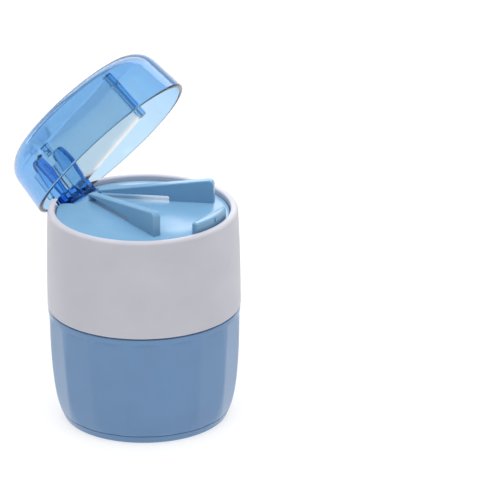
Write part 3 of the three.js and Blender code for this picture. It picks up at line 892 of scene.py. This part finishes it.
def lid_shell():
    corners = lifted([
        (0, LID_HEIGHT - LID_WALL, 0),
        (lid_top_r(LID_WALL), LID_HEIGHT - LID_WALL, LID_CROWN_R - LID_WALL),
        (LID_RIM_R - LID_WALL, 0, 0.45),
        (LID_RIM_R, 0, 0.55),
        (lid_top_r(0), LID_HEIGHT, LID_CROWN_R),
        (0, LID_HEIGHT, 0),
    ])
    return turned("lid_clear", rounded(corners, closed=False))


def lid_envelope():
    """What is inside the lid ends here, halfway through the lid's wall."""
    half = LID_WALL / 2
    corners = lifted([
        (0, -12, 0),
        (LID_RIM_R - half, -12, 0),
        (LID_RIM_R - half, 0, 0),
        (lid_top_r(half), LID_HEIGHT - half, LID_CROWN_R - half),
        (0, LID_HEIGHT - half, 0),
    ])
    return turned("envelope", rounded(corners, closed=False))


def hinge_arm(side):
    """An arm stands free inside the wall, with a rounded top and a thin web that ties it to the wall."""
    corners = [
        (19.6, -2.8, 0.2),
        (25.2, -2.8, 0.2),
        (24.4, 0.6, 1),
        (24.0, 6.2, 3),
        (22.2, ARM_TOP, 1.9),
        (18.45, ARM_TOP, 1.9),
        (17.9, 8.8, 3),
        (18.6, 5.8, 2),
        (19.6, -0.3, 0),
    ]
    inner, outer = sorted((side * ARM_INNER_X, side * ARM_OUTER_X))
    arm = soft_prism("arm", rounded(lifted(corners)), inner, outer, 0.3, ACROSS)
    web = soft_box(
        "web", side * WEB_X - 0.5, side * WEB_X + 0.5, 21, LID_RIM_R,
        LID_RIM_Z + 3, LID_RIM_Z + 11.5, edge=0.15,
    )
    return combined(arm, [web], "UNION")


def blade_post(y0, y1, low):
    """A bar inside the lid that holds one end of the blade."""
    return soft_box(
        "post", -POST_HALF_WIDTH, POST_HALF_WIDTH, y0, y1,
        low, LID_RIM_Z + LID_HEIGHT, edge=0.25, corner=0.35,
    )


def blade_outline(margin, bottom, corner):
    """The blade's side view, grown by a margin."""
    top = BLADE_TOP + margin
    return rounded(lifted([
        (BLADE_FRONT_Y - margin, bottom, 0.1),
        (BLADE_REAR_Y + margin, bottom, 0.1),
        (BLADE_REAR_Y + margin, top, BLADE_CORNER_R),
        (BLADE_FRONT_Y - margin, top, corner),
    ]))


def rivet_holes(half_length, edge):
    """Cutters for the holes of the blade's two rivets."""
    places = (FRONT_PIN, REAR_PIN)
    return [rod("hole", RIVET_HOLE_R, half_length, y, LID_RIM_Z + up, edge=edge) for y, up in places]


def make_lid():
    """The clear lid with its hinge arms, and the posts and channel that hold the blade."""
    low = LID_RIM_Z - BLADE_EDGE_DROP
    inside = hinge_arm(1)
    bridge_x = ARM_INNER_X + 0.5
    bridge = soft_box("bridge", -bridge_x, bridge_x, 19.9, 24.2, low, LID_RIM_Z + 1.6, edge=0.3)
    lug = blade_post(LUG_FRONT_Y, LUG_REAR_Y, LID_RIM_Z + LUG_BOTTOM)
    front_post = blade_post(POST_FRONT_Y, POST_FRONT_Y + POST_DEPTH, low)
    rear_post = blade_post(POST_REAR_Y - POST_DEPTH, POST_REAR_Y, low)
    combined(inside, [hinge_arm(-1), bridge, lug, front_post, rear_post], "UNION")
    combined(inside, [lid_envelope()], "INTERSECT")
    shell = lid_shell()
    barrel = rod("barrel", BARREL_R, ARM_OUTER_X, hinge.y, hinge.z, edge=0.3, sides=64)
    combined(shell, [inside, barrel], "UNION")
    slot_outline = blade_outline(GAP, -2, 0.1)
    slot = soft_prism("slot", slot_outline, -SLOT_HALF_THICK, SLOT_HALF_THICK, 0.05, ACROSS)
    hole = rod("hole", PIN_HOLE_R, ARM_OUTER_X + 1, hinge.y, hinge.z)
    holes = rivet_holes(POST_HALF_WIDTH + 1, 0.15)
    return swung(combined(shell, [slot, hole, *holes], "DIFFERENCE"))


def make_blade():
    """A plate with its lower edge ground to a point from both sides."""
    edge_z = LID_RIM_Z - BLADE_EDGE_DROP
    half = BLADE_THICK / 2
    outline = blade_outline(0, -BLADE_EDGE_DROP, 0.8)
    plate = soft_prism("cutting_blade", outline, -half, half, 0.04, ACROSS)
    cuts = []
    for side in (1, -1):
        wedge = [
            (0.03, edge_z - 0.2),
            (0.03, edge_z),
            (half + 0.05, edge_z + BEVEL_HEIGHT + 0.4),
            (2, edge_z - 0.2),
        ]
        wedge = [Vector((side * x, z)) for x, z in wedge]
        if side > 0:
            wedge.reverse()
        cuts.append(soft_prism("bevel", wedge, -30, 30, 0.001, LENGTHWISE))
    return swung(combined(plate, cuts + rivet_holes(1, 0.02), "DIFFERENCE"))


def make_rivet(name, place):
    y, up = place
    return swung(rod(name, RIVET_R, POST_HALF_WIDTH, y, LID_RIM_Z + up, edge=0.2))


# ---------- the object ----------
placed(make_foot(), "cup", "base_cap", cup_plastic)
placed(make_cup(), "cup", "cup_body", cup_plastic)
placed(make_anvil(), "cup", "anvil_disc", plate_metal)
placed(make_plate(), "plate", "press_plate", plate_metal)
placed(make_press(), "top", "press_body", cup_plastic)
placed(make_shell(), "top", "upper_shell", shell_plastic)
placed(make_deck(), "deck", "cutter_deck", deck_plastic)
hinge_rod = rod("hinge_rod", PIN_R, pin_high.x, hinge.y, hinge.z, edge=0.25)
placed(hinge_rod, "deck", "hinge_pin", deck_plastic)
lid = placed(make_lid(), "cover", "lid", lid_plastic)
# Clear plastic lets the light through, so it throws no dark shadow on the deck
lid.visible_shadow = False
lid.visible_diffuse = False
placed(make_blade(), "cover", "blade", blade_metal, sharp_degrees=12)
rivets = (
    ("rivet_front", "blade_pin_front", FRONT_PIN),
    ("rivet_rear", "blade_pin_rear", REAR_PIN),
)
for name, node, place in rivets:
    placed(make_rivet(name, place), "cover", node, pin_metal)


# ---------- camera ----------
def direction(azimuth, elevation):
    """The way from the object to a camera at that azimuth and elevation."""
    return Vector((
        math.sin(azimuth) * math.cos(elevation),
        -math.cos(azimuth) * math.cos(elevation),
        math.sin(elevation),
    ))


def make_camera():
    """A long lens. The crusher stands left of and below the middle of the frame."""
    target = Vector((0, 0, TARGET_Z))
    back = direction(CAMERA_AZIMUTH, CAMERA_ELEVATION)
    right = Vector((0, 0, 1)).cross(back).normalized()
    up = back.cross(right)
    aim = target + right * AIM_RIGHT + up * AIM_UP
    data = bpy.data.cameras.new("camera")
    data.sensor_width = 36
    data.lens = CAMERA_LENS
    data.clip_start = 0.05
    data.clip_end = 20
    camera = bpy.data.objects.new("camera", data)
    bpy.context.scene.collection.objects.link(camera)
    camera.location = target + back * CAMERA_DISTANCE
    camera.rotation_mode = "QUATERNION"
    level = (aim - camera.location).to_track_quat("-Z", "Y")
    camera.rotation_quaternion = level @ Quaternion((0, 0, 1), CAMERA_ROLL)
    bpy.context.scene.camera = camera


# ---------- studio ----------
def make_floor():
    """A pale floor at the height of the foot, which glows a little so that shadows stay light."""
    half = 3.0
    corners = [(-half, -half, 0), (half, -half, 0), (half, half, 0), (-half, half, 0)]
    mesh = bpy.data.meshes.new("floor")
    mesh.from_pydata([Vector(c) for c in corners], [], [(0, 1, 2, 3)])
    floor = bpy.data.objects.new("floor", mesh)
    bpy.context.scene.collection.objects.link(floor)
    made, nodes, links, shader = new_material("floor_paper")
    where = nodes.new("ShaderNodeTexCoord")
    clouds = noise(nodes, links, where, 12, 3)
    paper = varied_colour(nodes, links, clouds, (0.3, 0.3, 0.3), 0.01)
    links.new(paper, shader.inputs["Base Color"])
    shader.inputs["Roughness"].default_value = 0.9
    shader.inputs["Specular IOR Level"].default_value = 0.05
    shader.inputs["Emission Color"].default_value = (1, 1, 1, 1)
    shader.inputs["Emission Strength"].default_value = 0.72
    mesh.materials.append(made)


def make_world():
    """Pale studio walls, darker on the camera's side and brighter behind the object."""
    world = bpy.data.worlds.new("studio")
    bpy.context.scene.world = world
    world.use_nodes = True
    nodes, links = world.node_tree.nodes, world.node_tree.links
    where = nodes.new("ShaderNodeTexCoord")
    toward = nodes.new("ShaderNodeVectorMath")
    toward.operation = "DOT_PRODUCT"
    toward.inputs[1].default_value = direction(CAMERA_AZIMUTH, 0.0)
    links.new(where.outputs["Generated"], toward.inputs[0])
    level = nodes.new("ShaderNodeMapRange")
    level.interpolation_type = "SMOOTHSTEP"
    level.inputs["From Min"].default_value = -0.55
    level.inputs["From Max"].default_value = 0.35
    level.inputs["To Min"].default_value = 0.62
    level.inputs["To Max"].default_value = 0.27
    links.new(toward.outputs["Value"], level.inputs["Value"])
    background = nodes["Background"]
    background.inputs["Color"].default_value = (0.97, 0.98, 1.0, 1)
    links.new(level.outputs["Result"], background.inputs["Strength"])


def make_light(name, azimuth, elevation, distance, width, height, power, mirrored=True):
    """A softbox that faces the middle of the object, and may be kept out of reflections."""
    data = bpy.data.lights.new(name, "AREA")
    data.shape = "RECTANGLE"
    data.size = width
    data.size_y = height
    data.energy = power
    lamp = bpy.data.objects.new(name, data)
    bpy.context.scene.collection.objects.link(lamp)
    way = direction(math.radians(azimuth), math.radians(elevation))
    lamp.location = Vector((0, 0, 0.05)) + way * distance
    lamp.rotation_mode = "QUATERNION"
    lamp.rotation_quaternion = way.to_track_quat("Z", "Y")
    lamp.visible_glossy = mirrored
    lamp.visible_transmission = False


make_camera()
make_floor()
make_world()
make_light("overhead", -50, 79, 1.0, 0.8, 0.8, 10.0, mirrored=False)
make_light("back_softbox", 123.5, 26, 1.2, 1.4, 0.55, 5.0)
make_light("strip_left", 172, 12, 1.2, 0.14, 0.9, 1.0)
make_light("strip_right", 64, 12, 1.2, 0.14, 0.9, 1.0)
make_light("front_left", -120, 8, 1.3, 0.18, 0.8, 0.3)
make_light("front_right", -8, 8, 1.3, 0.18, 0.8, 0.3)
bpy.context.scene.view_settings.view_transform = "Standard"
